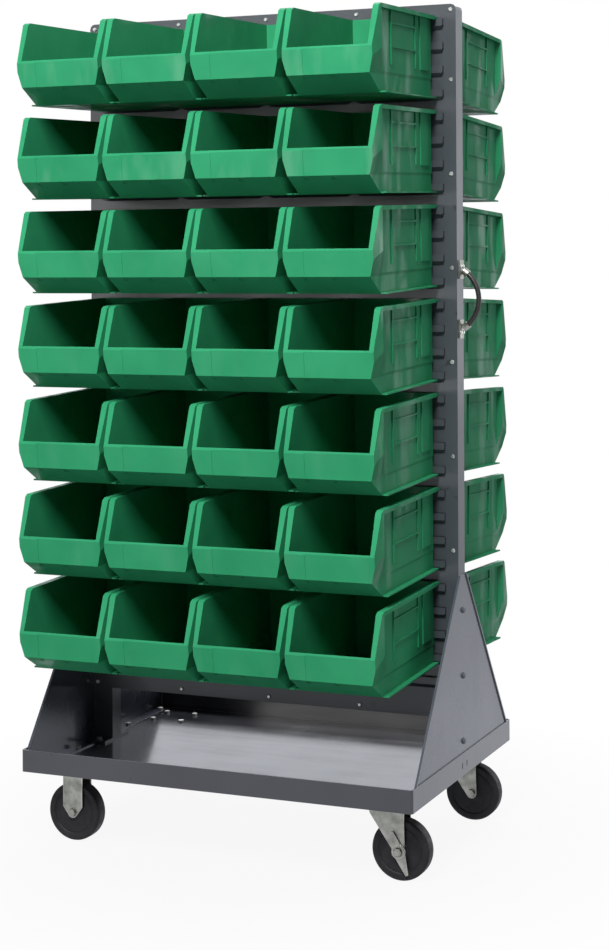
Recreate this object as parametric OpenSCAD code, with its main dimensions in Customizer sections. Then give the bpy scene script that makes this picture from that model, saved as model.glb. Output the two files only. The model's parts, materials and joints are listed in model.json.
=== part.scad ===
// Mobile louvered bin rack: a caster tray that carries two louvered panels back to back,
// with hopper bins hooked on both sides. The origin is on the floor under the tray's middle,
// X runs along the rack towards the handle, Y from front to back, and Z is up.

/* [Overall] */
// Width of the base tray
rack_w = 914.4; // [900:0.1:1000]
// Depth of the base tray
rack_d = 635; // [620:1:720]
// Height of the panels' top edge above the floor
rack_h = 1828.8; // [1815:0.1:1900]

/* [Base tray] */
// Thickness of the tray's sheet
tray_t = 2.5; // [1.5:0.1:4]
// Height of the turned-up rim, measured outside
rim_h = 48; // [35:1:70]
// Outside radius of the tray's upright corners
tray_corner_r = 6; // [5:0.5:12]
// Length of each of the two short slots at the middle of an end rim
rim_slot_l = 13; // [8:1:20]
// Width of a rim slot
rim_slot_w = 4; // [3:0.5:6]
// Spacing of the two rim slots
rim_slot_pitch = 28; // [16:1:40]

/* [Frame] */
// Width of an upright tube, seen from the front
upright_w = 50; // [44:1:60]
// Depth of the tubes, which is the space between the two panels
frame_d = 38; // [32:1:50]
// Wall thickness of the tubes
tube_t = 2; // [1.5:0.1:3]
// Height of the two cross tubes
cross_tube_h = 38; // [32:1:50]
// Length of an upright's foot plate, front to back
foot_l = 108; // [98:1:130]
// Thickness of a foot plate
foot_t = 5; // [3:0.5:8]
// Distance from the rack's middle plane to a foot bolt
foot_bolt_y = 37; // [35:0.5:40]

/* [End plates] */
// Thickness of an end plate's sheet
end_t = 2.5; // [1.5:0.1:4]
// Height of an end plate above the tray's floor
end_h = 430; // [380:1:480]
// Height of the upright stretch at an end plate's front and rear
end_shoulder_h = 27; // [20:1:34]
// Distance from the rim to an end plate's front and rear ends
end_inset = 9; // [6:0.5:20]
// How far the turned-out edges of an end plate stand proud
end_flange = 2.5; // [1.5:0.1:2.6]
// Width of the turned-out edges of an end plate
end_edge_w = 4; // [2.5:0.5:8]
// Depth of the foot flange on the tray's floor
end_foot_flange = 28; // [24:1:32]
// Height of an end plate's lowest bolt above the tray's floor
end_bolt_low = 70; // [60:1:80]
// Spacing of an end plate's bolts
end_bolt_pitch = 141.5; // [120:0.5:145]
// Distance from an upright's foot plate to the nearer bolt of a foot flange
flange_bolt_gap = 60; // [50:1:80]
// Distance from an end plate's front and rear ends to the farther bolt of a foot flange
flange_bolt_end = 30; // [20:1:40]

/* [Louvered panels] */
// Thickness of a panel's sheet
panel_t = 1.5; // [1:0.1:2]
// Open height between the tray's floor and the panels
panel_gap = 121.5; // [110:0.5:130]
// Vertical spacing of the louvers
louver_pitch = 50.8; // [50:0.1:52]
// Height of a louver
louver_h = 24; // [20:0.5:28]
// How far a louver stands out from the sheet
louver_out = 9; // [8.5:0.1:10]
// How much shorter a louver is than a bin is wide
louver_trim = 0.4; // [0:0.1:2]
// Plain sheet between two louvers in a row
louver_gap = 8; // [6:0.5:9]
// Rounding of a louver's lower corners
louver_corner = 12; // [8:0.5:14]
// Distance from a panel's top edge to the free edge of the top louvers
louver_drop = 32.3; // [30:0.1:44]
// Rounding of a panel's top corners
panel_corner = 12; // [4:0.5:16]
// Distance from a panel's edge to the middle of its screws
screw_margin = 12; // [10:0.5:14]
// Distance from the panels' top to the first pair of side screws
side_screw_drop = 163.5; // [155:0.5:170]

/* [Bins] */
// Length of a bin, from its back to its lip
bin_l = 356; // [340:1:375]
// Width of a bin at its flared mouth
bin_w = 206.4; // [203:0.1:207.5]
// Height of a bin
bin_h = 177.8; // [172:0.1:182]
// Wall thickness of a bin
bin_wall = 2.8; // [2.2:0.1:3.4]
// Floor thickness of a bin
bin_floor = 3; // [2.4:0.1:4]
// How far the mouth flares out on each side
bin_flare = 11.7; // [9:0.1:13]
// How far the mouth draws in again on each side at the lip
lip_draw = 5; // [1:0.1:7]
// Length of the parallel stretch of the side walls
bin_straight = 303; // [290:1:315]
// Length of the flare
flare_l = 9; // [6:1:24]
// Height of the lip, where the bin is longest
lip_h = 88; // [84:1:96]
// Height of the lip band's lower edge
lip_low_h = 37; // [32:1:44]
// How far the lip band leans back at its lower edge
lip_lean = 5; // [3:1:20]
// Distance from the lip back to the front of the floor
toe_back = 62; // [54:1:90]
// Distance from the lip back to the top of the mouth
mouth_back = 34; // [24:1:38]
// Size of the cut-off corner at the top of the mouth
mouth_corner = 9; // [4:0.5:12]
// How much narrower the floor is on each side than the side walls
tuck = 1.5; // [1:0.1:2.5]
// Droop of a hung bin's front, in degrees
bin_tilt = 2; // [0:0.1:3]
// Height of the rim along the top of the side walls
rim_skirt_h = 8.5; // [6:0.5:12]
// Thickness of the rim and of the rail along the floor
rim_wall = 3; // [2.4:0.1:4]
// How far the rim and the rail stay short of the mouth's full width on each side
rim_short = 0.6; // [0.2:0.1:2]
// Width of the hook at the top of the back
hook_w = 140; // [70:1:140]
// Thickness of the hook
hook_t = 3; // [2.4:0.1:3.2]
// How far the hook reaches down behind the louver
hook_reach = 7; // [5:0.5:8]
// Gap between the hook's tongue and the louver in front of it
hook_gap = 1.5; // [0.8:0.1:2]
// Distance from the hook's seat up to the bin's top edge
hook_drop = 6; // [5:0.5:8]
// Gap between a bin's back and the louvers
bin_stand = 1; // [0.5:0.1:2]
// Gap between two bins side by side
bin_gap = 1.6; // [1:0.1:3]
// How far the front bins sit off the middle, towards the handle
front_bins_x = -4; // [-20:1:20]
// How far the rear bins sit off the middle, towards the handle
rear_bins_x = 18; // [-20:1:20]
// Louver rows from one row of bins to the next
louvers_per_row = 4; // [4:1:4]
// Height of the ribs on the side walls
rib_out = 3; // [1:0.1:4]

/* [Casters] */
// Height of the casters, from the floor to the tray
caster_h = 163.5; // [160:0.5:175]
// Distance from a tray end to the middle of its casters
caster_end = 85; // [76:1:95]
// Distance from a tray side to the middle of its casters
caster_side = 92; // [80:1:100]
// Length of a caster's mounting plate, along the rack
plate_l = 104; // [98:1:112]
// Width of a caster's mounting plate
plate_w = 98; // [94:1:106]
// Thickness of a caster's mounting plate
plate_t = 4; // [3:0.5:6]
// Spacing of the caster bolts along the rack
bolt_pitch_l = 76; // [76:1:80]
// Spacing of the caster bolts across the rack
bolt_pitch_w = 71; // [70:1:74]
// Diameter of a wheel
wheel_d = 127; // [120:1:130]
// Width of a wheel's tread
wheel_w = 32; // [28:1:38]
// Thickness of a fork's legs
leg_t = 3; // [2:0.5:4]
// Width of a rigid fork's leg
leg_w = 48; // [40:1:54]
// Radius of the round end of a fork's leg
leg_tip_r = 12; // [10:0.5:14]
// Diameter of the sleeve that a wheel turns on
sleeve_d = 16; // [15:0.5:18]
// Diameter of an axle where it passes the legs
axle_d = 10; // [9:0.5:12]
// How far a swivel wheel trails behind its kingpin
trail = 28; // [24:1:34]
// Half the width of a swivel fork's crown
crown_half = 38; // [34:1:39]
// Thickness of a swivel fork's crown
crown_t = 5; // [4:0.5:6]
// Diameter of the swivel race
race_d = 64; // [58:1:68]
// Height of the swivel race
race_h = 9; // [6:0.5:11]
// Diameter of the kingpin
kingpin_d = 16; // [14:0.5:18]
// Length of a brake lever's short upper arm
brake_up = 42; // [36:1:46]
// Length of a brake lever's long lower arm
brake_down = 51; // [46:1:55]
// Lean of a brake lever from upright, in degrees
brake_lean = 21; // [10:1:30]
// Thickness of a brake lever
brake_t = 4; // [3:0.5:5]
// Radius of a brake lever's hub
brake_hub_r = 15; // [13:0.5:17]
// Height of the ring round the nut on a brake lever's hub
brake_ring_h = 4; // [2:0.5:6]

/* [Handle] */
// Height of the handle's middle above the floor
handle_z = 1191; // [1100:1:1300]
// Distance between the ends of the bowed grip
grip_span = 122; // [100:1:140]
// How far the grip bows out beyond its ends
grip_bow = 33; // [26:1:40]
// Diameter of the grip
grip_d = 11; // [9:0.5:13]
// Height of a handle bracket's pad
pad_h = 34; // [30:1:40]
// Width of a handle bracket's pad
pad_w = 24; // [20:1:30]
// Thickness of a handle bracket's pad
pad_t = 4; // [3:0.5:6]
// Angle of the grip's arc that each bracket's socket holds, in degrees
socket_turn = 9; // [6:1:12]

/* [Fasteners] */
// Diameter of the panel and handle screws
screw_d = 5; // [4:0.5:6]
// Diameter of the frame and caster bolts
bolt_d = 8; // [6:0.5:8]

/* [Fits] */
// Gap where one piece is seated inside another
seat_gap = 0.2; // [0.1:0.05:0.4]
// Gap between faces that turn past one another
turn_gap = 0.4; // [0.3:0.05:0.8]
// Gap all round between a pin and the piece that turns on it
pin_gap = 0.05; // [0.02:0.01:0.09]
// Gap all round between a fastener and its hole
hole_gap = 0.3; // [0.2:0.05:0.5]

/* [Hidden] */
$fn = 48;
bin_rows = 7;
end_bolts = 3;
through = 1;

deck_z = caster_h + tray_t;
rim_top = caster_h + rim_h;
end_x = rack_w / 2 - tray_t - seat_gap;
frame_x = end_x - end_t;
panel_low = deck_z + panel_gap;
panel_face = frame_d / 2 + panel_t;
louver_top = rack_h - louver_drop;
louver_rows = floor((louver_top - louver_h - panel_low - cross_tube_h) / louver_pitch) + 1;
louver_w = bin_w - louver_trim;
louver_step = louver_w + louver_gap;
louver_field = 2 * (frame_x - screw_margin - screw_d);
louver_columns = floor(louver_field / louver_step);
row_pitch = louvers_per_row * louver_pitch;
bin_back = panel_face + louver_out + bin_stand;
bin_pitch = bin_w + bin_gap;
bin_field = 2 * (frame_x - max(abs(front_bins_x), abs(rear_bins_x)));
bin_columns = floor((bin_field + bin_gap) / bin_pitch);
caster_x = rack_w / 2 - caster_end;
caster_y = rack_d / 2 - caster_side;
axle_z = wheel_d / 2;
leg_in = wheel_w / 2 + 2;
leg_out = leg_in + leg_t;
hub_half = leg_in - turn_gap;
axle_nut_d = axle_d * 1.8;
axle_nut_h = axle_d * 0.6;
plate_low = caster_h - plate_t;
race_low = plate_low - race_h;
crown_top = race_low - turn_gap;
crown_low = crown_top - crown_t;
bolt_head_d = bolt_d * 1.7;
bolt_head_h = bolt_d * 0.6;
nut_h = bolt_d * 0.8;
screw_head_d = screw_d * 1.9;
screw_head_h = screw_d * 0.55;

FIXED_NODES = [
    "base_tray", "left_end_plate", "right_end_plate", "left_upright", "right_upright", "cross_tubes",
    "front_louver_panel", "rear_louver_panel", "panel_screws", "frame_bolts", "handle_brackets",
    "handle_grip", "rigid_forks", "rigid_axles", "swivel_plates",
    "swivel_fork_front", "swivel_fork_rear", "swivel_axle_front", "swivel_axle_rear",
    "brake_lever_front", "brake_lever_rear",
    "wheel_left_front", "wheel_left_rear", "wheel_right_front", "wheel_right_rear"
];
function front_bin_name(row, column) = str("bin_front_r", row, "c", column);
function rear_row_name(row) = str("bins_rear_row", row);

tray_steel = "#5b5d63";
panel_steel = "#54585d";
plate_steel = "#8f949b";
zinc = "#b4b39f";
bin_green = "#3f9f70";
wheel_grey = "#343436";
grip_black = "#1d1b1a";

// Inward unit normal of an edge of a counter-clockwise outline
function edge_normal(a, b) = [a.y - b.y, b.x - a.x] / norm(b - a);

// A counter-clockwise outline with every edge moved inwards by d
function inset(points, d) = [
    for (i = [0:len(points) - 1])
        let (
            before = points[(i + len(points) - 1) % len(points)],
            here = points[i],
            after = points[(i + 1) % len(points)],
            n1 = edge_normal(before, here),
            n2 = edge_normal(here, after)
        )
        here + d * (n1 + n2) / (1 + n1 * n2)
];

// Extrudes an outline drawn in Y and Z along X, centred on x = 0
module along_x(length) {
    rotate([90, 0, 90])
        linear_extrude(length, center = true)
            children();
}

// Extrudes an outline drawn in X and Z along Y, from y = from to y = to
module along_y(from, to) {
    translate([0, to, 0])
        rotate([90, 0, 0])
            linear_extrude(to - from)
                children();
}

// A rectangle with round corners, centred
module round_rect(w, d, r) {
    square([w - 2 * r, d], center = true);
    square([w, d - 2 * r], center = true);
    for (sx = [-1, 1])
        for (sy = [-1, 1])
            translate([sx * (w / 2 - r), sy * (d / 2 - r)])
                circle(r);
}

// A rectangle in X and Z with upper corners rounded in three flats, centred on x = 0
module round_top(w, low, high, r) {
    translate([-w / 2, low])
        square([w, high - low - r]);
    translate([-w / 2 + r, low])
        square([w - 2 * r, high - low]);
    for (s = [-1, 1])
        translate([s * (w / 2 - r), high - r])
            circle(r, $fn = 12);
}

// A round-headed screw or bolt along +Z: the head above z = 0 and the shank below it
module round_head(d, shank, head_d, head_h) {
    rotate_extrude()
        polygon([
            [0, -shank], [d / 2, -shank], [d / 2, 0], [head_d / 2, 0],
            [head_d / 2, head_h * 0.35], [head_d * 0.34, head_h], [0, head_h]
        ]);
}

// A hexagon-headed bolt along +Z with its nut at the far side of what it clamps
module hex_bolt(grip) {
    cylinder(h = bolt_head_h, d = bolt_head_d, $fn = 6);
    translate([0, 0, -grip - nut_h - through])
        cylinder(h = grip + nut_h + through + 0.01, d = bolt_d);
    translate([0, 0, -grip - nut_h])
        cylinder(h = nut_h, d = bolt_head_d, $fn = 6);
}

// A straight-sided hole for a fastener, along Z
module fastener_hole(d, length) {
    cylinder(h = length, d = (d + 2 * hole_gap) / cos(180 / 12), center = true, $fn = 12);
}

// Repeats the children, drawn for the right end, at the left end too
module both_ends() {
    for (turn = [0, 180])
        rotate([0, 0, turn])
            children();
}

// Places of the feet bolts, the end plates' flange bolts and the caster bolts at the right end
foot_bolts = [for (s = [-1, 1]) [frame_x - upright_w / 2, s * foot_bolt_y]];
end_half = rack_d / 2 - tray_t - end_inset;
flange_bolts = [
    for (s = [-1, 1])
        for (y = [foot_l / 2 + flange_bolt_gap, end_half - flange_bolt_end])
            [frame_x - end_foot_flange * 0.55, s * y]
];
plate_holes = [for (sx = [-1, 1]) for (sy = [-1, 1]) [sx * bolt_pitch_l / 2, sy * bolt_pitch_w / 2]];
end_bolt_heights = [for (i = [0:end_bolts - 1]) deck_z + end_bolt_low + i * end_bolt_pitch];

module base_tray() {
    color(tray_steel)
        difference() {
            translate([0, 0, caster_h])
                linear_extrude(rim_h)
                    round_rect(rack_w, rack_d, tray_corner_r);
            translate([0, 0, deck_z])
                linear_extrude(rim_h)
                    round_rect(rack_w - 2 * tray_t, rack_d - 2 * tray_t, tray_corner_r - tray_t);
            both_ends() {
                for (p = concat(foot_bolts, flange_bolts))
                    translate([p.x, p.y, deck_z])
                        fastener_hole(bolt_d, 4 * tray_t);
                for (sy = [-1, 1])
                    translate([caster_x, sy * caster_y, deck_z])
                        for (p = plate_holes)
                            translate([p.x, p.y, 0])
                                fastener_hole(bolt_d, 4 * tray_t);
                for (s = [-1, 1])
                    translate([rack_w / 2, s * rim_slot_pitch / 2, rim_top - rim_h * 0.55])
                        cube([4 * tray_t, rim_slot_w, rim_slot_l], center = true);
            }
        }
}

// The sloping edge of an end plate runs from its shoulder up to the panels
shoulder = [end_half, deck_z + end_shoulder_h];
peak = [panel_face, deck_z + end_h];

module end_plate() {
    slope = (peak - shoulder) / norm(peak - shoulder);
    edge_low = rim_top + seat_gap;
    function inner_y(z) = peak.x + (peak.y - z) * -slope.x / slope.y - end_edge_w / slope.y;
    difference() {
        union() {
            difference() {
                translate([frame_x + (end_t + end_flange) / 2, 0, 0])
                    along_x(end_t + end_flange)
                        polygon([
                            [-end_half, deck_z], [end_half, deck_z], shoulder, peak,
                            [-peak.x, peak.y], [-shoulder.x, shoulder.y]
                        ]);
                // The outer face is sunk between its turned-out edges
                translate([frame_x + end_t + end_flange, 0, 0])
                    along_x(2 * end_flange)
                        for (side = [0, 1])
                            mirror([side, 0])
                                polygon([
                                    [-0.1, deck_z - 1], [end_half + 1, deck_z - 1], [end_half + 1, edge_low],
                                    [inner_y(edge_low), edge_low], [inner_y(peak.y), peak.y],
                                    [inner_y(peak.y), peak.y + 1], [-0.1, peak.y + 1]
                                ]);
            }
            for (side = [0, 1])
                mirror([0, side, 0])
                    translate([frame_x - end_foot_flange, foot_l / 2 + 4, deck_z])
                        cube([end_foot_flange, end_half - foot_l / 2 - 4, end_t]);
        }
        for (p = flange_bolts)
            translate([p.x, p.y, deck_z])
                fastener_hole(bolt_d, 4 * end_t);
        for (z = end_bolt_heights)
            translate([frame_x, 0, z])
                rotate([0, 90, 0])
                    fastener_hole(bolt_d, 4 * end_t);
    }
}

module left_end_plate() {
    color(plate_steel)
        rotate([0, 0, 180])
            end_plate();
}

module right_end_plate() {
    color(plate_steel)
        end_plate();
}

// Heights of the screws down a panel's sides, and places of those along its top and bottom
side_screws = [
    for (z = rack_h - side_screw_drop; z > panel_low + louver_pitch * 2; z = z - row_pitch) z
];
edge_screw_x = [for (i = [-2:2]) i / 2 * (frame_x - screw_margin)];
edge_screw_z = [panel_low + screw_margin, rack_h - screw_margin];
panel_screw_places = concat(
    [for (z = edge_screw_z) for (x = edge_screw_x) [x, z]],
    [for (z = side_screws) for (s = [-1, 1]) [s * (frame_x - screw_margin), z]]
);

// Screw holes for both panels, cut through all that lies between them
module panel_screw_holes() {
    for (p = panel_screw_places)
        translate([p.x, 0, p.y])
            rotate([90, 0, 0])
                fastener_hole(screw_d, 2 * (panel_face + through));
}

module upright() {
    foot_top = deck_z + foot_t;
    difference() {
        union() {
            intersection() {
                translate([frame_x - upright_w, -frame_d / 2, deck_z])
                    cube([upright_w, frame_d, rack_h - deck_z]);
                along_y(-frame_d, frame_d)
                    round_top(2 * frame_x, 0, rack_h, panel_corner);
            }
            translate([frame_x - upright_w, -foot_l / 2, deck_z])
                cube([upright_w, foot_l, foot_t]);
        }
        translate([frame_x - upright_w + tube_t, -frame_d / 2 + tube_t, foot_top])
            cube([upright_w - 2 * tube_t, frame_d - 2 * tube_t, rack_h - foot_top - panel_corner]);
        for (p = foot_bolts)
            translate([p.x, p.y, deck_z])
                fastener_hole(bolt_d, 4 * foot_t);
        for (z = end_bolt_heights)
            translate([frame_x, 0, z])
                rotate([0, 90, 0])
                    fastener_hole(bolt_d, 4 * tube_t);
        panel_screw_holes();
    }
}

module left_upright() {
    color(panel_steel)
        rotate([0, 0, 180])
            upright();
}

module right_upright() {
    color(panel_steel)
        difference() {
            upright();
            for (p = pad_screws)
                translate([frame_x, p.x, p.y])
                    rotate([0, 90, 0])
                        fastener_hole(screw_d, 4 * tube_t);
        }
}

module cross_tubes() {
    length = 2 * (frame_x - upright_w);
    color(panel_steel)
        for (low = [panel_low, rack_h - cross_tube_h])
            difference() {
                translate([-length / 2, -frame_d / 2, low])
                    cube([length, frame_d, cross_tube_h]);
                translate([-length / 2 - through, -frame_d / 2 + tube_t, low + tube_t])
                    cube([length + 2 * through, frame_d - 2 * tube_t, cross_tube_h - 2 * tube_t]);
                panel_screw_holes();
            }
}

// A louver's outside in Y and Z, with the sheet's face at y = 0 and its own root at z = 0
louver_outside = [[0, 0], [louver_out, louver_out], [louver_out, louver_h], [0, louver_h]];
// The hollow behind a louver, which is open upwards and runs on as a slot through the sheet
skin = panel_t * sqrt(2);
louver_hollow = [
    [-panel_t - through, skin - panel_t - through],
    [louver_out - panel_t, skin + louver_out - panel_t],
    [louver_out - panel_t, louver_h + through],
    [0, louver_h + through],
    [0, louver_h],
    [-panel_t - through, louver_h]
];

// Front view of a louver: straight sides and rounded lower corners
function louver_front(half, r) = [
    [-half, louver_h + 2 * through], [-half, r], [-half + 0.3 * r, 0.3 * r], [-half + r, 0],
    [half - r, 0], [half - 0.3 * r, 0.3 * r], [half, r], [half, louver_h + 2 * through]
];

// All the louvers of a panel, or their hollows, from one outline and a front view drawn in by shrink
module louvers(outline, shrink) {
    field = louver_columns * louver_step;
    intersection() {
        along_x(field)
            for (row = [0:louver_rows - 1])
                translate([panel_face, louver_top - louver_h - row * louver_pitch])
                    polygon(outline);
        along_y(0, panel_face + louver_out + through)
            for (row = [0:louver_rows - 1])
                for (column = [0:louver_columns - 1])
                    translate([
                        (column + 0.5) * louver_step - field / 2,
                        louver_top - louver_h - row * louver_pitch
                    ])
                        polygon(louver_front(louver_w / 2 - shrink, louver_corner - shrink));
    }
}

// The rear panel, which faces +Y
module louver_panel() {
    difference() {
        union() {
            along_y(frame_d / 2, panel_face)
                round_top(2 * frame_x, panel_low, rack_h, panel_corner);
            louvers(louver_outside, 0);
        }
        louvers(louver_hollow, panel_t);
        panel_screw_holes();
    }
}

module front_louver_panel() {
    color(panel_steel)
        rotate([0, 0, 180])
            louver_panel();
}

module rear_louver_panel() {
    color(panel_steel)
        louver_panel();
}

module panel_screws() {
    color(zinc) {
        for (turn = [0, 180])
            rotate([0, 0, turn])
                for (p = panel_screw_places)
                    translate([p.x, panel_face, p.y])
                        rotate([-90, 0, 0])
                            round_head(screw_d, panel_t + tube_t + 4, screw_head_d, screw_head_h);
        for (p = pad_screws)
            translate([frame_x + pad_t, p.x, p.y])
                rotate([0, 90, 0])
                    round_head(screw_d, pad_t + tube_t + 4, screw_head_d, screw_head_h);
    }
}

module frame_bolts() {
    color(zinc)
        both_ends() {
            for (p = foot_bolts)
                translate([p.x, p.y, deck_z + foot_t])
                    hex_bolt(foot_t + tray_t);
            for (p = flange_bolts)
                translate([p.x, p.y, deck_z + end_t])
                    hex_bolt(end_t + tray_t);
            for (sy = [-1, 1])
                for (p = plate_holes)
                    translate([caster_x + p.x, sy * caster_y + p.y, deck_z])
                        hex_bolt(tray_t + plate_t);
            for (z = end_bolt_heights)
                translate([end_x, 0, z])
                    rotate([0, 90, 0])
                        round_head(bolt_d, end_t + tube_t + 5, bolt_head_d, bolt_head_h);
        }
}

// The grip's middle line is an arc of this radius about a point inside the rack
grip_r = (grip_span * grip_span / 4 + grip_bow * grip_bow) / (2 * grip_bow);
grip_half_turn = asin(grip_span / 2 / grip_r);
grip_end_x = frame_x + pad_t + grip_d / 2;
pad_screws = [
    for (s = [-1, 1])
        for (k = [-1, 1])
            [k * pad_w * 0.3, handle_z + s * (grip_span / 2 + pad_h * 0.3)]
];

// A bent rod or tube along the grip's arc, between two angles from the arc's middle
module grip_arc(d, from, to) {
    translate([grip_end_x + grip_bow - grip_r, 0, handle_z])
        rotate([90, 0, 0])
            rotate([0, 0, from])
                rotate_extrude(angle = to - from)
                    translate([grip_r, 0])
                        circle(d = d);
}

module handle_brackets() {
    color(zinc)
        for (s = [0, 1])
            translate([0, 0, handle_z])
                mirror([0, 0, s])
                    translate([0, 0, -handle_z])
                        difference() {
                            union() {
                                translate([frame_x, -pad_w / 2, handle_z + grip_span / 2 - pad_h * 0.5])
                                    cube([pad_t, pad_w, pad_h * 1.2]);
                                grip_arc(grip_d + 6, grip_half_turn - socket_turn, grip_half_turn + 1);
                            }
                            grip_arc(grip_d + 2 * seat_gap, 0, grip_half_turn - 1);
                            for (p = pad_screws)
                                translate([frame_x, p.x, p.y])
                                    rotate([0, 90, 0])
                                        fastener_hole(screw_d, 4 * pad_t);
                        }
}

module handle_grip() {
    color(grip_black)
        grip_arc(grip_d, -grip_half_turn + 1 + seat_gap, grip_half_turn - 1 - seat_gap);
}

// A caster's mounting plate with its four bolt holes
module caster_plate() {
    difference() {
        translate([-plate_l / 2, -plate_w / 2, plate_low])
            cube([plate_l, plate_w, plate_t]);
        for (p = plate_holes)
            translate([p.x, p.y, plate_low])
                fastener_hole(bolt_d, 4 * plate_t);
    }
}

// Both legs of a fork from one outline in X and Z, with a round end and the axle's hole
module fork_legs(points, axle_x) {
    difference() {
        for (side = [0, 1])
            mirror([0, side, 0])
                along_y(leg_in, leg_out) {
                    polygon(points);
                    translate([axle_x, axle_z])
                        circle(leg_tip_r);
                }
        translate([axle_x, 0, axle_z])
            rotate([90, 0, 0])
                cylinder(h = 4 * leg_out, d = axle_d + 2 * hole_gap, center = true);
    }
}

module rigid_forks() {
    legs = [
        [-leg_tip_r * 0.8, axle_z - leg_tip_r * 0.6], [leg_tip_r * 0.8, axle_z - leg_tip_r * 0.6],
        [leg_w / 2, axle_z + leg_tip_r], [leg_w / 2, plate_low],
        [-leg_w / 2, plate_low], [-leg_w / 2, axle_z + leg_tip_r]
    ];
    color(zinc)
        for (sy = [-1, 1])
            translate([-caster_x, sy * caster_y, 0]) {
                caster_plate();
                fork_legs(legs, 0);
            }
}

// An axle along Y: a sleeve between the legs, and a hexagon head and nut outside them
module axle(outside) {
    rotate([90, 0, 0])
        translate([0, 0, -leg_out])
            cylinder(h = leg_out + outside, d = axle_d);
    rotate([90, 0, 0])
        cylinder(h = 2 * hub_half, d = sleeve_d, center = true);
    for (y = [leg_out + axle_nut_h, -outside])
        translate([0, y, 0])
            rotate([90, 0, 0])
                cylinder(h = axle_nut_h, d = axle_nut_d, $fn = 6);
}

module rigid_axles() {
    color(zinc)
        for (sy = [-1, 1])
            translate([-caster_x, sy * caster_y, axle_z])
                axle(leg_out);
}

// Half of a wheel's section: the tread, the web and the hub, with the bore on the sleeve
module wheel() {
    tread_r = wheel_d / 2;
    tread_depth = wheel_d * 0.14;
    color(wheel_grey)
        rotate([90, 0, 0])
            rotate_extrude($fn = 72) {
                translate([tread_r - tread_depth / 2, 0])
                    round_rect(tread_depth, wheel_w, wheel_w * 0.14);
                translate([sleeve_d / 2 + pin_gap, -wheel_w * 0.46])
                    square([tread_r - sleeve_d / 2 - pin_gap - tread_depth * 0.6, wheel_w * 0.92]);
                translate([sleeve_d / 2 + pin_gap, -hub_half + turn_gap])
                    square([wheel_d * 0.07, 2 * (hub_half - turn_gap)]);
            }
}

module wheel_left_front() {
    translate([-caster_x, -caster_y, axle_z])
        wheel();
}

module wheel_left_rear() {
    translate([-caster_x, caster_y, axle_z])
        wheel();
}

module wheel_right_front() {
    translate([caster_x + trail, -caster_y, axle_z])
        wheel();
}

module wheel_right_rear() {
    translate([caster_x + trail, caster_y, axle_z])
        wheel();
}

// The swivel casters' plates, each with its race and its riveted kingpin
module swivel_plates() {
    color(zinc)
        for (sy = [-1, 1])
            translate([caster_x, sy * caster_y, 0]) {
                caster_plate();
                translate([0, 0, race_low])
                    cylinder(h = race_h, d = race_d);
                translate([0, 0, crown_low - turn_gap])
                    cylinder(h = race_low - crown_low + turn_gap, d = kingpin_d);
                translate([0, 0, crown_low - turn_gap - 4])
                    cylinder(h = 4, d = kingpin_d * 1.6);
            }
}

// A swivel fork about its kingpin at x = 0, with raked legs that carry the axle at x = trail
module swivel_fork() {
    shoulder_h = 8;
    difference() {
        union() {
            translate([-crown_half, -leg_out, crown_low])
                cube([2 * crown_half, 2 * leg_out, crown_t]);
            fork_legs([
                [trail - leg_tip_r * 0.8, axle_z - leg_tip_r * 0.6], [trail + leg_tip_r, axle_z],
                [crown_half, crown_low], [-crown_half, crown_low], [-crown_half, crown_low - shoulder_h]
            ], trail);
        }
        translate([0, 0, crown_low])
            cylinder(h = 4 * crown_t, d = kingpin_d + 2 * pin_gap, center = true);
    }
}

module swivel_fork_front() {
    color(zinc)
        translate([caster_x, -caster_y, 0])
            swivel_fork();
}

module swivel_fork_rear() {
    color(zinc)
        translate([caster_x, caster_y, 0])
            swivel_fork();
}

// On a swivel caster the axle's outer end carries the brake lever between the leg and the nut
brake_seat = leg_out + turn_gap;
swivel_axle_out = brake_seat + brake_t + turn_gap;

module swivel_axle_front() {
    color(zinc)
        translate([caster_x + trail, -caster_y, axle_z])
            axle(swivel_axle_out);
}

module swivel_axle_rear() {
    color(zinc)
        translate([caster_x + trail, caster_y, axle_z])
            mirror([0, 1, 0])
                axle(swivel_axle_out);
}

// A brake lever about the axle, on the leg's outer side towards -Y: a hub with a ring round the
// nut, a short pointed arm upwards and a long one downwards
module brake_lever() {
    tip_half = 3;
    wide = brake_hub_r * 0.8;
    narrow = brake_hub_r * 0.6;
    color(zinc)
        rotate([0, -brake_lean, 0]) {
            along_y(-brake_seat - brake_t, -brake_seat)
                difference() {
                    union() {
                        circle(brake_hub_r);
                        polygon([
                            [-tip_half, -brake_down], [tip_half, -brake_down],
                            [wide, -narrow], [narrow, wide],
                            [tip_half, brake_up], [-tip_half, brake_up],
                            [-narrow, wide], [-wide, -narrow]
                        ]);
                    }
                    circle(axle_d / 2 + pin_gap);
                }
            along_y(-brake_seat - brake_t - brake_ring_h, -brake_seat - brake_t)
                difference() {
                    circle(brake_hub_r - 1);
                    circle(axle_nut_d / 2 + 2 * turn_gap);
                }
        }
}

module brake_lever_front() {
    translate([caster_x + trail, -caster_y, axle_z])
        brake_lever();
}

module brake_lever_rear() {
    translate([caster_x + trail, caster_y, axle_z])
        mirror([0, 1, 0])
            brake_lever();
}

// Side outline of a bin in Y and Z, from its back at y = 0 to its lip at y = bin_l
bin_side = [
    [0, 0], [bin_l - toe_back, 0], [bin_l - lip_lean, lip_low_h], [bin_l, lip_h],
    [bin_l - mouth_back, bin_h - mouth_corner * 0.5], [bin_l - mouth_back - mouth_corner, bin_h], [0, bin_h]
];
// The hollow has the same outline, but its lip band and back run on upwards past the mouth
overrun = 2 * bin_h;
lip_slope = lip_lean / (lip_h - lip_low_h);
bin_side_hollow = inset([
    [0, bin_floor - bin_wall], [bin_l - toe_back, bin_floor - bin_wall], [bin_l - lip_lean, lip_low_h],
    [bin_l + lip_slope * (overrun - lip_h), overrun], [0, overrun]
], bin_wall);

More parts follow.
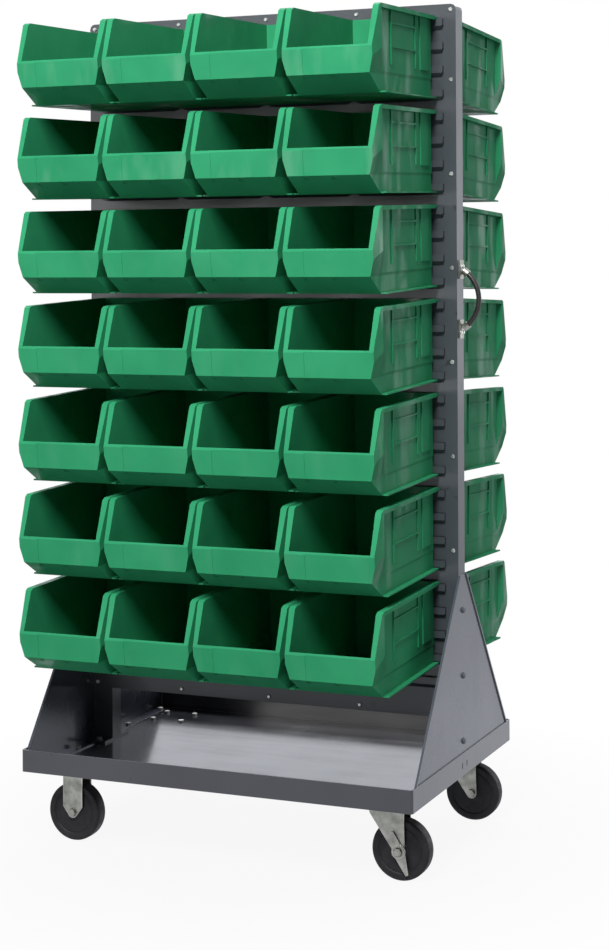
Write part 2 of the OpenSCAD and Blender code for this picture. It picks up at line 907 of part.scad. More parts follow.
// Plan of a bin: parallel walls that flare out at the mouth and draw in a little at the lip
bin_body_half = bin_w / 2 - bin_flare;
lip_half = bin_w / 2 - lip_draw;
bin_plan = [
    [-bin_body_half, 0], [bin_body_half, 0], [bin_body_half, bin_straight],
    [bin_w / 2, bin_straight + flare_l], [lip_half, bin_l],
    [-lip_half, bin_l], [-bin_w / 2, bin_straight + flare_l], [-bin_body_half, bin_straight]
];
// The hollow keeps its width, so the flare is a broad edge down each side of the mouth
bin_plan_hollow = inset([
    [-bin_body_half, 0], [bin_body_half, 0], [bin_body_half, 2 * bin_l], [-bin_body_half, 2 * bin_l]
], bin_wall);

// Front view of a bin: the floor is tucked in, and the walls widen below the lip
function bin_front(top) = [
    [-bin_body_half + tuck, 0], [bin_body_half - tuck, 0], [bin_body_half - tuck, lip_low_h],
    [bin_w / 2, lip_h], [bin_w / 2, top], [-bin_w / 2, top], [-bin_w / 2, lip_h],
    [-bin_body_half + tuck, lip_low_h]
];

// What a side outline, a plan and a front view have in common
module three_views(side, plan, front) {
    intersection() {
        along_x(2 * bin_w)
            polygon(side);
        linear_extrude(2 * overrun, center = true)
            polygon(plan);
        along_y(-bin_l, 2 * bin_l)
            polygon(front);
    }
}

// Ribs, rim and rail of one side wall, for the wall towards +X
module bin_wall_trim() {
    rib_w = 4;
    rib_x = bin_body_half - bin_wall / 2;
    rib_t = bin_wall / 2 + rib_out;
    rib_low = lip_h * 0.66;
    rib_high = bin_h - rim_wall;
    rim_half = bin_w / 2 - rim_short;
    rear_band = [0.07, 0.2] * bin_l;
    rib_from = 0.27 * bin_l;
    rib_to = 0.66 * bin_l;
    rim_l = bin_straight + flare_l;
    translate([rib_x, rear_band[0], rib_low])
        cube([rib_t, rear_band[1] - rear_band[0], rib_high - rib_low]);
    for (y = [rib_from, rib_to])
        translate([rib_x, y, rib_low])
            cube([rib_t, rib_w, rib_high - rib_low]);
    for (z = [0.53, 0.8] * bin_h)
        translate([rib_x, rib_from, z])
            cube([rib_t, rib_to - rib_from, rib_w]);
    intersection() {
        union() {
            translate([rib_x, 0, bin_h - rim_wall])
                cube([rim_half - rib_x, rim_l, rim_wall]);
            translate([rim_half - rim_wall, 0, bin_h - rim_skirt_h])
                cube([rim_wall, rim_l, rim_skirt_h]);
        }
        along_x(2 * bin_w)
            polygon(bin_side);
    }
    translate([rib_x - tuck, 0, 0])
        cube([rim_half - rib_x + tuck, bin_l - toe_back, rim_wall]);
}

// A bin's shell with its lip towards +Y and the middle of its back's lower edge at the origin
module bin_shell() {
    band_low = [bin_l - lip_lean, lip_low_h];
    band_up = [lip_lean, lip_h - lip_low_h];
    step_deep = edge_normal(band_low, band_low + band_up) * bin_wall * 0.3;
    step_out = [2 * bin_wall, 0];
    slope_low = [bin_l - toe_back, 0];
    notch_w = 9;
    notch_low = slope_low + 0.78 * (band_low - slope_low);
    notch_high = slope_low + 0.9 * (band_low - slope_low);
    notch_deep = edge_normal(slope_low, band_low) * bin_wall * 0.4;
    difference() {
        union() {
            difference() {
                three_views(bin_side, bin_plan, bin_front(bin_h));
                three_views(bin_side_hollow, bin_plan_hollow, inset(bin_front(overrun), bin_wall));
            }
            for (side = [0, 1])
                mirror([side, 0, 0])
                    bin_wall_trim();
        }
        translate([-bin_w * 0.37, 0, 0])
            along_x(bin_w * 1.26)
                polygon([
                    band_low + step_deep + 0.04 * band_up, band_low + step_out + 0.04 * band_up,
                    band_low + step_out + 1.1 * band_up, band_low + step_deep + 1.1 * band_up
                ]);
        for (x = [-0.05, 0.25] * bin_w)
            translate([x, 0, 0])
                along_x(notch_w)
                    polygon([
                        notch_low + notch_deep, notch_low + step_out,
                        notch_high + step_out, notch_high + notch_deep
                    ]);
    }
}

// A hung bin's back leans off the louvers at its top, and its lower edge stands on their plane
hook_seat = bin_h - hook_drop;
lean_off = hook_seat * sin(bin_tilt);

// The hook, seated at z = 0 on a louver's free edge: a plate as wide as the rim, and a tongue below it
module bin_hook() {
    tongue = -bin_stand - panel_t - hook_gap;
    root = lean_off + bin_wall / 2;
    along_x(bin_w - 2 * rim_short)
        polygon([[tongue - hook_t, 0], [root, 0], [root, hook_t + 1], [tongue - hook_t, hook_t + 1]]);
    along_x(hook_w)
        polygon([
            [tongue - hook_t, -hook_reach], [tongue, -hook_reach],
            [tongue, hook_t], [tongue - hook_t, hook_t]
        ]);
}

// One bin as it hangs, with its hook's seat at z = 0 and its back's lower edge at y = 0
module bin() {
    color(bin_green) {
        translate([0, lean_off, 0])
            rotate([-bin_tilt, 0, 0])
                translate([0, 0, -hook_seat])
                    bin_shell();
        bin_hook();
    }
}

// Places a bin on the rear side by its row from the top and its column from the left of that side,
// in an array whose middle is at x = middle
module placed_bin(row, column, middle) {
    translate([
        middle - (column - (bin_columns + 1) / 2) * bin_pitch,
        bin_back,
        louver_top - (row - 1) * row_pitch
    ])
        bin();
}

module front_bin(row, column) {
    rotate([0, 0, 180])
        placed_bin(row, column, -front_bins_x);
}

module bins_rear_row(row) {
    for (column = [1:bin_columns])
        placed_bin(row, column, rear_bins_x);
}

base_tray();
left_end_plate();
right_end_plate();
left_upright();
right_upright();
cross_tubes();
front_louver_panel();
rear_louver_panel();
panel_screws();
frame_bolts();
handle_brackets();
handle_grip();
rigid_forks();
rigid_axles();
swivel_plates();
swivel_fork_front();
swivel_fork_rear();
swivel_axle_front();
swivel_axle_rear();
brake_lever_front();
brake_lever_rear();
wheel_left_front();
wheel_left_rear();
wheel_right_front();
wheel_right_rear();
for (row = [1:bin_rows])
    for (column = [1:bin_columns])
        front_bin(row, column);
for (row = [1:bin_rows])
    bins_rear_row(row);
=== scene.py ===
# %% [markdown]
# # Dressing a mobile louvered bin rack
# The rack is a sheet-steel tray on casters that carries two louvered panels back to back, with
# hopper bins hooked on both faces. The CAD model gives every piece its place and size, in metres,
# with Z up and the origin on the floor under the tray. This lesson adds what CAD leaves out: the
# moulded plastic and worn enamel, softened edges, turned wheels, light and a camera.

# %% Load the frame
import json
import math

import bmesh
import bpy
import numpy as np
from mathutils import Matrix, Vector

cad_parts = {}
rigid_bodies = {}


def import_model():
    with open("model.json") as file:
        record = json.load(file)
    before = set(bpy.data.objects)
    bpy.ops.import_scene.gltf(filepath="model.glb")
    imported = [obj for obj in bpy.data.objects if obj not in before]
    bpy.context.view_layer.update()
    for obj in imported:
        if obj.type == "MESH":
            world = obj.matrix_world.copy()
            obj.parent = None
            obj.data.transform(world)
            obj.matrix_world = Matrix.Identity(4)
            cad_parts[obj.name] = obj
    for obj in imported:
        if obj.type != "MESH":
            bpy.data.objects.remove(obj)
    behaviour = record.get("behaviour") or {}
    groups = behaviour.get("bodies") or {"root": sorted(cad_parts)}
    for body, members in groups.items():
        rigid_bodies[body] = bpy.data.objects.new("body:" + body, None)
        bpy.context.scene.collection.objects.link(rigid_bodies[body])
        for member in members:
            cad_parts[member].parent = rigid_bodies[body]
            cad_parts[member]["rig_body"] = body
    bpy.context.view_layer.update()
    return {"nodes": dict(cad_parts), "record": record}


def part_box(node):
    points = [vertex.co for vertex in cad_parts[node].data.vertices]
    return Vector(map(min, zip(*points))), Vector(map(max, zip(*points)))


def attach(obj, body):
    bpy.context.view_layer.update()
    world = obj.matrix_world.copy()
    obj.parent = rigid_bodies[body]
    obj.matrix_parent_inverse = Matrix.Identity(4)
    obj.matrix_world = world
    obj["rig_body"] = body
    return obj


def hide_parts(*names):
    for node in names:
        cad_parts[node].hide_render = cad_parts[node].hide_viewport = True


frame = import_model()
node_slot = {part["node"]: part["material_slot"] for part in frame["record"]["subparts"]}

# %% [markdown]
# ## The camera
# A product picture like this one is taken from a little to the right of the rack, at chest height,
# with a long lens. Corners whose real places are known, such as the tray's and the panels', fix the
# camera: its place, its turn and its focal length in pixels. The picture is cut from a larger frame,
# so the lens axis doesn't pass through the picture's middle, and the shift makes up for that. The
# sensor's width plays no part in a picture that is fitted by height, but a camera that is moved round
# the rack goes by it, so it is given a little narrow to leave room for the shift.

# %% Place the camera
PICTURE_W, PICTURE_H = 609, 950
SENSOR_HEIGHT_MM, SENSOR_WIDTH_MM = 36, 33
FOCAL_PX = 1875.9
AXIS_PX = (390.0, 260.0)
CAMERA_PLACE = (1.8062, -3.8300, 1.2710)
CAMERA_AZIMUTH, CAMERA_ELEVATION, CAMERA_ROLL = (math.radians(a) for a in (21.612, -0.080, -0.289))

back = Vector((
    math.sin(CAMERA_AZIMUTH) * math.cos(CAMERA_ELEVATION),
    -math.cos(CAMERA_AZIMUTH) * math.cos(CAMERA_ELEVATION),
    math.sin(CAMERA_ELEVATION),
))
level_right = Vector((math.cos(CAMERA_AZIMUTH), math.sin(CAMERA_AZIMUTH), 0))
level_up = back.cross(level_right)
right = level_right * math.cos(CAMERA_ROLL) + level_up * math.sin(CAMERA_ROLL)
up = level_up * math.cos(CAMERA_ROLL) - level_right * math.sin(CAMERA_ROLL)

lens = bpy.data.cameras.new("product_camera")
lens.sensor_fit = "VERTICAL"
lens.sensor_height = SENSOR_HEIGHT_MM
lens.sensor_width = SENSOR_WIDTH_MM
lens.lens = FOCAL_PX / PICTURE_H * lens.sensor_height
lens.shift_x = (PICTURE_W / 2 - AXIS_PX[0]) / PICTURE_H
lens.shift_y = (AXIS_PX[1] - PICTURE_H / 2) / PICTURE_H
camera = bpy.data.objects.new("product_camera", lens)
camera.matrix_world = Matrix.Translation(CAMERA_PLACE) @ Matrix((right, up, back)).transposed().to_4x4()
bpy.context.scene.collection.objects.link(camera)
bpy.context.scene.camera = camera
print("lens:", round(lens.lens, 2), "mm, shift:", round(lens.shift_x, 4), round(lens.shift_y, 4))

# %% [markdown]
# ## A shader helper
# Every finish below is a small graph of shader nodes. One helper adds a node, sets its properties
# and wires its inputs, so that each finish reads as a list of what it is made of. Colours are
# written as they look on a screen, and turned into the linear values that the shader works with.
# Most of a noise's values lie in the middle of its range, so a finish usually spreads out that band.

# %% Helpers for shader graphs
COAT_ROUGHNESS = 0.12
NOISE_BAND = (0.3, 0.7)


def screen_colour(code):
    """Linear RGBA of a screen colour such as #2f9561, by the sRGB curve."""
    value = np.array([int(code[i:i + 2], 16) for i in (1, 3, 5)]) / 255
    linear = np.where(value <= 0.04045, value / 12.92, ((value + 0.055) / 1.055) ** 2.4)
    return (*linear.tolist(), 1.0)


def add_node(tree, kind, inputs=None, **properties):
    """Adds a shader node; an input is a value, or another node's socket that is wired to it."""
    node = tree.nodes.new(kind)
    for name, value in properties.items():
        setattr(node, name, value)
    for key, value in (inputs or {}).items():
        if isinstance(value, bpy.types.NodeSocket):
            tree.links.new(value, node.inputs[key])
        else:
            node.inputs[key].default_value = value
    return node


def cloudy(tree, scale, stretch=(1, 1, 1), detail=4.0):
    """A noise from 0 to 1 in features of 1 / scale metres, drawn out along axes of a stretch under 1."""
    place = add_node(tree, "ShaderNodeTexCoord").outputs["Object"]
    stretched = add_node(tree, "ShaderNodeMapping", {"Vector": place, "Scale": stretch})
    noise = add_node(tree, "ShaderNodeTexNoise",
                     {"Vector": stretched.outputs["Vector"], "Scale": scale, "Detail": detail})
    return noise.outputs["Fac"]


def between(tree, value, low, high, out_low=0.0, out_high=1.0):
    """Runs from out_low to out_high as the value goes from low to high."""
    ends = {"From Min": low, "From Max": high, "To Min": out_low, "To Max": out_high}
    return add_node(tree, "ShaderNodeMapRange", {"Value": value, **ends}).outputs["Result"]


def mixed_colour(tree, share, first, second):
    """The first colour where the share is 0, the second where it is 1."""
    node = add_node(tree, "ShaderNodeMix", {0: share, 6: first, 7: second}, data_type="RGBA")
    return node.outputs[2]


def relief(tree, height, depth, strength):
    """A bump of the given depth in metres."""
    node = add_node(tree, "ShaderNodeBump", {"Height": height, "Distance": depth, "Strength": strength})
    return node.outputs["Normal"]


def finish_material(name, colour, roughness, normal=None, metallic=0.0, specular=0.5, coat=0.0):
    """A material whose finish is given by values, or by functions that make sockets in its tree."""
    material = bpy.data.materials.new(name)
    material.use_nodes = True
    tree = material.node_tree
    shader = tree.nodes["Principled BSDF"]
    shader.inputs["Specular IOR Level"].default_value = specular
    shader.inputs["Coat Roughness"].default_value = COAT_ROUGHNESS
    made = {
        "Base Color": colour, "Roughness": roughness, "Normal": normal, "Metallic": metallic,
        "Coat Weight": coat,
    }
    for key, make in made.items():
        if make is None:
            continue
        value = make(tree) if callable(make) else make
        if isinstance(value, bpy.types.NodeSocket):
            tree.links.new(value, shader.inputs[key])
        else:
            shader.inputs[key].default_value = value
    return material


print("screen grey #808080 is", round(screen_colour("#808080")[0], 3), "in linear light")

# %% [markdown]
# ## The studio
# The picture is cut out on white. A white card all round would light the deep bins from every side,
# so the world is white only for what the camera and the glossy surfaces see of it, and dim for the
# rest. The light comes from a large soft lamp at the front right and a weaker one at the front left.
# Two more stand behind: a weak one grazes the end with the handle, and a high one lights the rear bins.
# The floor takes the shadow near the rack and fades to plain white away from it. Enamel mirrors the
# room at a low angle, so what glossy rays meet has its own strengths: the room's front is dim and its
# rear bright, and the floor is bright near the rack and dimmer far off.

# %% White surroundings, soft lamps and a pale floor
AMBIENT = 0.12
FRONT_GLOSS, REAR_GLOSS = 0.24, 1.3
FRONT_TO_REAR = (-0.25, 0.1)
COOL_WHITE = (0.90, 0.93, 1.0, 1)
FLOOR_RADIUS, FLOOR_CORNERS, FLOOR_DROP = 14.0, 64, 0.0005
FLOOR_GREY = (0.25, 0.25, 0.25, 1)
WHITE = (1, 1, 1, 1)
FLOOR_FADE = (0.4, 1.2)
SHADOW_LIGHTENED = 0.92
FLOOR_GLOSS_SPAN = (1.5, 4.0)
NEAR_GLOSS, FAR_GLOSS = 1.0, 0.7

world = bpy.data.worlds.new("white_room")
world.use_nodes = True
bpy.context.scene.world = world
room = world.node_tree
room.nodes.clear()
rays = add_node(room, "ShaderNodeLightPath").outputs
mirrored = add_node(room, "ShaderNodeMath", {0: rays["Is Glossy Ray"], 1: rays["Is Transmission Ray"]},
                    operation="MAXIMUM").outputs[0]
direction = add_node(room, "ShaderNodeTexCoord").outputs["Generated"]
heading = add_node(room, "ShaderNodeSeparateXYZ", {0: direction})
room_gloss = between(room, heading.outputs["Y"], *FRONT_TO_REAR, FRONT_GLOSS, REAR_GLOSS)
dim = add_node(room, "ShaderNodeBackground", {"Color": WHITE, "Strength": AMBIENT})
cool = add_node(room, "ShaderNodeBackground", {"Color": COOL_WHITE, "Strength": room_gloss})
white = add_node(room, "ShaderNodeBackground", {"Color": WHITE, "Strength": 1.0})
unseen = add_node(room, "ShaderNodeMixShader", {0: mirrored, 1: dim.outputs[0], 2: cool.outputs[0]})
choice = add_node(room, "ShaderNodeMixShader",
                  {0: rays["Is Camera Ray"], 1: unseen.outputs[0], 2: white.outputs[0]})
add_node(room, "ShaderNodeOutputWorld", {"Surface": choice.outputs[0]})


def soft_lamp(name, place, target, side, watts):
    """A square area lamp that faces a target point."""
    lamp = bpy.data.lights.new(name, "AREA")
    lamp.energy = watts
    lamp.size = side
    holder = bpy.data.objects.new(name, lamp)
    aim = Vector(target) - Vector(place)
    holder.matrix_world = Matrix.Translation(place) @ aim.to_track_quat("-Z", "Y").to_matrix().to_4x4()
    bpy.context.scene.collection.objects.link(holder)


soft_lamp("key_lamp", place=(0.9, -3.7, 4.5), target=(0, 0, 1.0), side=1.8, watts=385)
soft_lamp("fill_lamp", place=(-2.2, -4.4, 1.4), target=(0, 0, 0.9), side=2.0, watts=40)
soft_lamp("rear_lamp", place=(3.0, 2.8, 0.9), target=(0, 0, 0.6), side=1.6, watts=16)
soft_lamp("back_lamp", place=(-0.9, 3.7, 4.2), target=(0, 0, 1.0), side=1.8, watts=230)

floor_mesh = bpy.data.meshes.new("studio_floor")
turn = np.linspace(0, 2 * np.pi, FLOOR_CORNERS, endpoint=False)
level = np.full(FLOOR_CORNERS, -FLOOR_DROP)
ring = np.stack([FLOOR_RADIUS * np.cos(turn), FLOOR_RADIUS * np.sin(turn), level], 1)
floor_mesh.from_pydata(ring.tolist(), [], [list(range(FLOOR_CORNERS))])
floor = bpy.data.objects.new("studio_floor", floor_mesh)
bpy.context.scene.collection.objects.link(floor)

floor_material = bpy.data.materials.new("white_floor")
floor_material.use_nodes = True
tree = floor_material.node_tree
tree.nodes.clear()
place = add_node(tree, "ShaderNodeTexCoord").outputs["Object"]
distance = add_node(tree, "ShaderNodeVectorMath", {0: place}, operation="LENGTH").outputs["Value"]
fade = between(tree, distance, *FLOOR_FADE, SHADOW_LIGHTENED, 1.0)
near = add_node(tree, "ShaderNodeBsdfDiffuse", {"Color": FLOOR_GREY})
rays = add_node(tree, "ShaderNodeLightPath").outputs
floor_gloss = between(tree, distance, *FLOOR_GLOSS_SPAN, NEAR_GLOSS, FAR_GLOSS)
strength = add_node(tree, "ShaderNodeMath", {0: floor_gloss, 1: rays["Is Camera Ray"]},
                    operation="MAXIMUM")
tint = mixed_colour(tree, rays["Is Camera Ray"], COOL_WHITE, WHITE)
far = add_node(tree, "ShaderNodeEmission", {"Color": tint, "Strength": strength.outputs[0]})
shown = add_node(tree, "ShaderNodeMath", {0: rays["Is Camera Ray"], 1: rays["Is Glossy Ray"]},
                 operation="MAXIMUM").outputs[0]
share = add_node(tree, "ShaderNodeMath", {0: fade, 1: shown}, operation="MULTIPLY").outputs[0]
blended = add_node(tree, "ShaderNodeMixShader", {0: share, 1: near.outputs[0], 2: far.outputs[0]})
add_node(tree, "ShaderNodeOutputMaterial", {"Surface": blended.outputs[0]})
floor_mesh.materials.append(floor_material)
bpy.context.scene.view_settings.view_transform = "Standard"

# %% [markdown]
# ## Moulded green plastic
# The bins are injection moulded in polypropylene. Its colour is even, with faint clouds where the
# melt flowed, and its satin skin is a fine grain that scatters the light. Handling has polished the
# skin in upright streaks, which mirror the white room and look paler. The edges of a mould are
# polished too, so they get a smoother finish of their own, and its lighter colour is a painted
# highlight of the pale lines that the edges catch.

# %% Bin finishes
bin_plastic = finish_material(
    "bin_plastic",
    colour=lambda t: mixed_colour(t, between(t, cloudy(t, 9), *NOISE_BAND),
                                  screen_colour("#28845a"), screen_colour("#309063")),
    roughness=lambda t: between(t, cloudy(t, 22, detail=6), *NOISE_BAND, 0.5, 0.62),
    normal=lambda t: relief(t, cloudy(t, 900, detail=2), 0.0001, 0.35),
    specular=0.06,
    coat=lambda t: between(t, cloudy(t, 16, stretch=(1, 1, 0.3), detail=3), 0.5, 0.68, 0, 0.45),
)
# The edge finish is a paler green: a painted highlight on the bevelled edges of the bins.
bin_edge_highlight = finish_material(
    "bin_edge_highlight",
    colour=lambda t: mixed_colour(t, between(t, cloudy(t, 30), 0.35, 0.65),
                                  screen_colour("#55aa84"), screen_colour("#70ba98")),
    roughness=lambda t: between(t, cloudy(t, 40), *NOISE_BAND, 0.25, 0.36),
)
print("bin finishes:", bin_plastic.name, bin_edge_highlight.name)

# %% [markdown]
# ## Grey enamel on steel
# The frame is sheet steel in a smooth dark grey powder coat. It is glossy enough to mirror the white
# room at a low angle, which is why the tray's floor and the end plates look pale. The coat has a
# slight orange-peel ripple. The tray has been used: goods slid in and out have left streaks along it
# and a few dark knocks. The folded edges are painted a lighter grey, partly as wear and partly as a
# painted highlight of the light that catches them.

# %% Enamel finishes
KNOCK_COLOUR = "#2b2c30"
KNOCKED_ABOVE, LOWERED_BY_WEAR, KNOCK_FADE = 0.73, 0.03, 0.03


def enamel(name, dark, light, gloss, streaks=0.0, coat=0.0):
    """Powder coat between two greys; streaks runs from 0, clean, to 1, well worn along X."""
    def colour(t):
        clouds = between(t, cloudy(t, 5), *NOISE_BAND)
        paint = mixed_colour(t, clouds, screen_colour(dark), screen_colour(light))
        level = KNOCKED_ABOVE - LOWERED_BY_WEAR * streaks
        knocks = between(t, cloudy(t, 26, detail=1), level, level + KNOCK_FADE, 0, 0.75)
        return mixed_colour(t, knocks, paint, screen_colour(KNOCK_COLOUR))

    def roughness(t):
        worn = between(t, cloudy(t, 14, stretch=(0.25, 2.2, 1), detail=6), 0.4, 0.72, 0, 0.22 * streaks)
        base = between(t, cloudy(t, 8), *NOISE_BAND, gloss, gloss + 0.1)
        return add_node(t, "ShaderNodeMath", {0: base, 1: worn}, operation="ADD").outputs[0]

    return finish_material(name, colour, roughness,
                           normal=lambda t: relief(t, cloudy(t, 260, detail=2), 0.0002, 0.06), coat=coat)


panel_enamel = enamel("panel_enamel", "#3a3e43", "#40454a", 0.3, coat=0.25)
plate_enamel = enamel("plate_enamel", "#383d48", "#404651", 0.2, streaks=0.2, coat=0.5)
tray_enamel = enamel("tray_enamel", "#2c2d33", "#34353b", 0.12, streaks=0.4, coat=0.5)
# The edge grey is much paler than the coats: partly wear, partly a painted highlight on the bevelled
# edges.
enamel_edge_wear_and_highlight = enamel("enamel_edge_wear_and_highlight", "#6d7177", "#83878c", 0.25)
print("enamels:", panel_enamel.name, plate_enamel.name, tray_enamel.name, enamel_edge_wear_and_highlight.name)

# %% [markdown]
# ## Zinc, rubber and the grip
# Forks, screws and brackets are zinc plated, with the faint yellow of a chromate dip and dull patches
# where the plating has aged. The bolts through the end plates are painted over with the plates, so
# one finish serves all the bolts and changes from zinc to paint outside a plane. Wheels of this kind
# are hard dark rubber, in faint clouds of a paler grey. The grip is a near-black moulding.

# %% Helpers for zinc and for painted bolts


def zinc_plating(name, dull, bright):
    """Plated steel between a dull and a bright tone, with fine brushing upwards."""
    return finish_material(
        name,
        colour=lambda t: mixed_colour(t, between(t, cloudy(t, 45, detail=5), 0.32, 0.68),
                                      screen_colour(dull), screen_colour(bright)),
        roughness=lambda t: between(t, cloudy(t, 70), *NOISE_BAND, 0.32, 0.5),
        normal=lambda t: relief(t, cloudy(t, 420, stretch=(1, 1, 0.15), detail=2), 0.0002, 0.2),
        metallic=1.0,
    )


def beyond(tree, low, high):
    """0 where a point's distance from the plane x = 0 is under low, 1 where it is over high."""
    place = add_node(tree, "ShaderNodeTexCoord").outputs["Object"]
    across = add_node(tree, "ShaderNodeSeparateXYZ", {0: place}).outputs["X"]
    distance = add_node(tree, "ShaderNodeMath", {0: across}, operation="ABSOLUTE").outputs[0]
    return between(tree, distance, low, high)


PAINTED_FROM = (0.4540, 0.4545)


def bolt_colour(tree):
    """Zinc inside the end plates, and the plates' paint outside them."""
    zinc = mixed_colour(tree, cloudy(tree, 45), screen_colour("#a9aaa4"), screen_colour("#d0d0cb"))
    paint = mixed_colour(tree, cloudy(tree, 60), screen_colour("#4a4e57"), screen_colour("#5a5e67"))
    return mixed_colour(tree, beyond(tree, *PAINTED_FROM), zinc, paint)


print("bolts are painted from", PAINTED_FROM, "m off the middle")

# %% Make the zinc, rubber and grip finishes
caster_zinc = zinc_plating("caster_zinc", "#7f7f76", "#aaaaa1")
# The brighter zinc is the screws' own plating; on the caster edges it is a painted highlight.
bright_zinc_and_edge_highlight = zinc_plating("bright_zinc_and_edge_highlight", "#b9bab5", "#dcdcd8")
frame_bolt_finish = finish_material(
    "frame_bolt_finish",
    colour=bolt_colour,
    roughness=lambda t: between(t, cloudy(t, 70), *NOISE_BAND, 0.3, 0.45),
    metallic=lambda t: between(t, beyond(t, *PAINTED_FROM), 0, 1, 1, 0),
)
hard_rubber = finish_material(
    "hard_rubber",
    colour=lambda t: mixed_colour(t, between(t, cloudy(t, 60, detail=5), 0.35, 0.7),
                                  screen_colour("#18181a"), screen_colour("#232325")),
    roughness=lambda t: between(t, cloudy(t, 90), *NOISE_BAND, 0.45, 0.65),
    normal=lambda t: relief(t, cloudy(t, 700, detail=3), 0.0002, 0.25),
    specular=0.25,
)
dark_grip = finish_material(
    "dark_grip",
    colour=lambda t: mixed_colour(t, between(t, cloudy(t, 80), 0.35, 0.7),
                                  screen_colour("#191717"), screen_colour("#2a2322")),
    roughness=lambda t: between(t, cloudy(t, 120), *NOISE_BAND, 0.35, 0.55),
    normal=lambda t: relief(t, cloudy(t, 900, detail=2), 0.0001, 0.3),
)
print("metal and rubber:", caster_zinc.name, bright_zinc_and_edge_highlight.name, hard_rubber.name, dark_grip.name)

# %% [markdown]
# ## Give each CAD node its finish
# Nodes whose CAD shape is right keep it and only change their material: the louvered panels, the
# frame tubes and the small fasteners. A table from node to finish says which is which.

# %% Finishes of the CAD nodes
finish_of = {
    "left_upright": panel_enamel, "right_upright": panel_enamel, "cross_tubes": panel_enamel,
    "front_louver_panel": panel_enamel, "rear_louver_panel": panel_enamel,
    "left_end_plate": plate_enamel, "right_end_plate": plate_enamel, "base_tray": tray_enamel,
    "panel_screws": bright_zinc_and_edge_highlight, "frame_bolts": frame_bolt_finish, "handle_brackets": caster_zinc,
    "handle_grip": dark_grip,
}
for name, node in frame["nodes"].items():
    finish = finish_of.get(name)
    if finish is None:
        finish = {"zinc_plate": caster_zinc, "wheel_rubber": hard_rubber}.get(node_slot[name], bin_plastic)
    node.data.materials.clear()
    node.data.materials.append(finish)
print("dressed nodes:", len(frame["nodes"]))

# %% [markdown]
# ## Softened edges
# No moulding or folded sheet has a perfectly sharp edge, and the thin highlight on a rounded edge is
# what makes it read as plastic or steel. Modelling each rounding by hand would be slow. Instead a
# copy of the CAD piece has its loose triangles merged into whole faces, and a Bevel modifier rounds
# every edge sharper than a limit. The bevel's own strips take the second material, which is painted
# paler as a painted highlight along the edges. The copy then stands for the CAD node and moves with
# its body.

# %% A helper that rounds a copy of a CAD node
MERGE_DISTANCE = 1e-5
FLAT_ANGLE = math.radians(0.6)
SHARP_ANGLE = math.radians(30)
BEVEL_STEPS = 2


def stand_for(piece, name):
    """The piece moves with the node's body and replaces the node, which is hidden."""
    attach(piece, frame["nodes"][name]["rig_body"])
    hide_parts(name)


def rounded_copy(name, radius, face_finish, edge_finish):
    """A copy of the node whose edges that turn by more than the sharp angle are rounded by the radius."""
    mesh = frame["nodes"][name].data.copy()
    mesh.name = name + "_rounded"
    form = bmesh.new()
    form.from_mesh(mesh)
    bmesh.ops.remove_doubles(form, verts=form.verts, dist=MERGE_DISTANCE)
    bmesh.ops.dissolve_limit(form, angle_limit=FLAT_ANGLE, verts=form.verts, edges=form.edges)
    form.to_mesh(mesh)
    form.free()
    mesh.materials.clear()
    mesh.materials.append(face_finish)
    mesh.materials.append(edge_finish)
    mesh.polygons.foreach_set("material_index", np.zeros(len(mesh.polygons), np.int32))
    mesh.polygons.foreach_set("use_smooth", np.zeros(len(mesh.polygons), bool))
    piece = bpy.data.objects.new(name + "_rounded", mesh)
    bpy.context.scene.collection.objects.link(piece)
    bevel = piece.modifiers.new("round_edges", "BEVEL")
    bevel.width = radius
    bevel.segments = BEVEL_STEPS
    bevel.limit_method = "ANGLE"
    bevel.angle_limit = SHARP_ANGLE
    # The bevel strips take the second material, whose paler colour is a painted highlight.
    bevel.material = 1
    stand_for(piece, name)


print("edges that turn by more than", round(math.degrees(SHARP_ANGLE)), "degrees are rounded")

# %% Round the bins
BIN_EDGE = 0.0009
bin_nodes = [name for name in frame["nodes"] if node_slot[name] == "green_plastic"]
for name in bin_nodes:
    rounded_copy(name, BIN_EDGE, bin_plastic, bin_edge_highlight)
print("rounded bins:", len(bin_nodes))

# %% [markdown]
# ## Folded and stamped steel
# The tray, the end plates, the caster forks and the brake levers are bent or stamped from sheet. Their
# edges are rounded by a third of the sheet's thickness or less, with the same helper and their own
# finishes; the lighter colours on the edge strips are painted highlights.

# %% Round the sheet-metal pieces
SHEET_EDGE = 0.0008
sheet_nodes = ("base_tray", "left_end_plate", "right_end_plate")
for name in sheet_nodes:
    rounded_copy(name, SHEET_EDGE, finish_of[name], enamel_edge_wear_and_highlight)
caster_nodes = (
    "rigid_forks", "swivel_fork_front", "swivel_fork_rear", "brake_lever_front", "brake_lever_rear",
)
# On the forks and levers the edge strips take the brighter zinc as a painted highlight.
for name in caster_nodes:
    rounded_copy(name, SHEET_EDGE, caster_zinc, bright_zinc_and_edge_highlight)
print("rounded sheet pieces:", len(sheet_nodes) + len(caster_nodes))

# %% [markdown]
# ## Turned wheels
# A caster wheel is a body of revolution: a crowned tread with round shoulders, a flat web with a
# shallow groove inside the tread, and a hub that stands a little proud. Stacking cylinders would
# leave hard steps. So half of its section is drawn as a list of corners, each corner is softened, and
# the section is carried round the axle as one closed grid, which has no poles to close.

# %% Helpers for a turned piece
LARGEST_SHARE = 0.45
CORNER_STEPS = 5
TURN_STEPS = 96


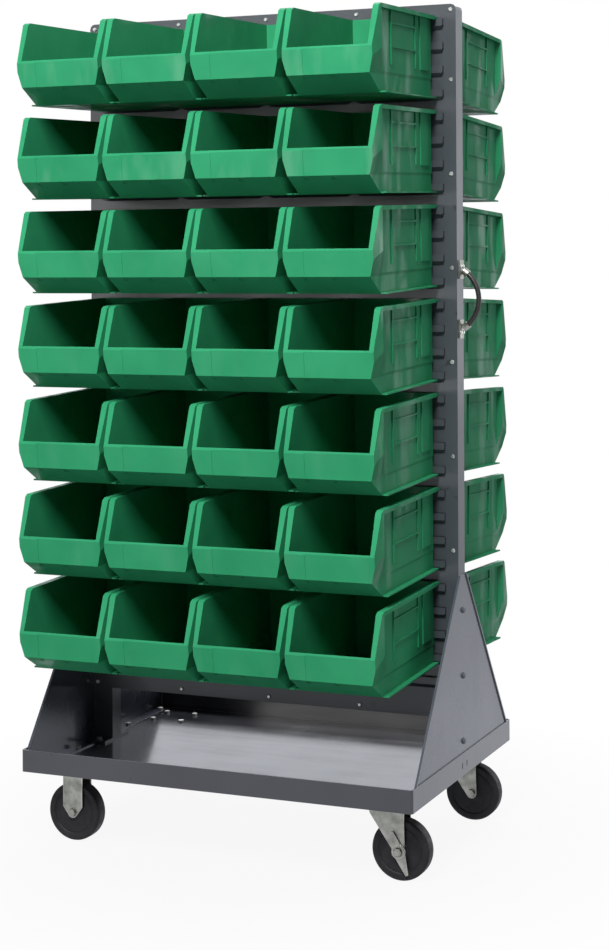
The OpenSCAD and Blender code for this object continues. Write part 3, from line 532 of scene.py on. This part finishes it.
def softened(corners, cut):
    """Turns each corner p into the curve (1-t)^2 a + 2t(1-t) p + t^2 b, with a and b at cut from p."""
    corners = np.asarray(corners, float)
    to_last, to_next = np.roll(corners, 1, 0) - corners, np.roll(corners, -1, 0) - corners
    lengths = [np.linalg.norm(edge, axis=1, keepdims=True) for edge in (to_last, to_next)]
    shares = [np.minimum(cut / length, LARGEST_SHARE) for length in lengths]
    start, end = corners + shares[0] * to_last, corners + shares[1] * to_next
    t = np.linspace(0, 1, CORNER_STEPS)[None, :, None]
    curve = (1 - t) ** 2 * start[:, None] + 2 * t * (1 - t) * corners[:, None] + t ** 2 * end[:, None]
    return curve.reshape(-1, 2)


def closed_grid(name, points, finish):
    """A smooth mesh through a grid of points that closes on itself both ways."""
    rows, columns = points.shape[:2]
    row, column = (index.ravel() for index in np.indices((rows, columns)))
    below, beside = (row + 1) % rows, (column + 1) % columns
    quads = np.stack([row * columns + column, below * columns + column,
                      below * columns + beside, row * columns + beside], 1)
    mesh = bpy.data.meshes.new(name)
    mesh.from_pydata(points.reshape(-1, 3).tolist(), [], quads.tolist())
    mesh.polygons.foreach_set("use_smooth", np.ones(len(quads), bool))
    mesh.materials.append(finish)
    piece = bpy.data.objects.new(name, mesh)
    bpy.context.scene.collection.objects.link(piece)
    return piece


def turned(name, outline, centre, finish):
    """Carries an outline of (radius r, offset) round the Y axis: x = r cos t, y = offset, z = r sin t."""
    radius, offset = outline.T
    turn = np.linspace(0, 2 * np.pi, TURN_STEPS, endpoint=False)[:, None]
    points = np.stack([radius * np.cos(turn), offset + 0 * turn, radius * np.sin(turn)], -1)
    return closed_grid(name, points + np.array(centre), finish)


print("a turned piece has", TURN_STEPS, "steps round its axle, and", CORNER_STEPS, "points to a corner")

# %% Turn the four wheels
HALF_SECTION_MM = [
    (8.05, 17.2), (16.0, 17.2), (17.5, 14.7), (44.0, 14.7), (45.2, 13.7), (47.2, 13.7), (48.4, 15.3),
    (59.5, 16.0), (63.2, 12.5), (63.5, 4.0),
]
SECTION_ROUNDING = 0.0022
section = np.array(HALF_SECTION_MM + [(r, -y) for r, y in reversed(HALF_SECTION_MM)]) / 1000
wheel_outline = softened(section, SECTION_ROUNDING)
wheel_nodes = [name for name in frame["nodes"] if node_slot[name] == "wheel_rubber"]
for name in wheel_nodes:
    low, high = (np.array(corner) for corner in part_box(name))
    stand_for(turned(name + "_turned", wheel_outline, (low + high) / 2, hard_rubber), name)
print("turned wheels:", len(wheel_nodes), "each of", len(wheel_outline) * TURN_STEPS, "faces")
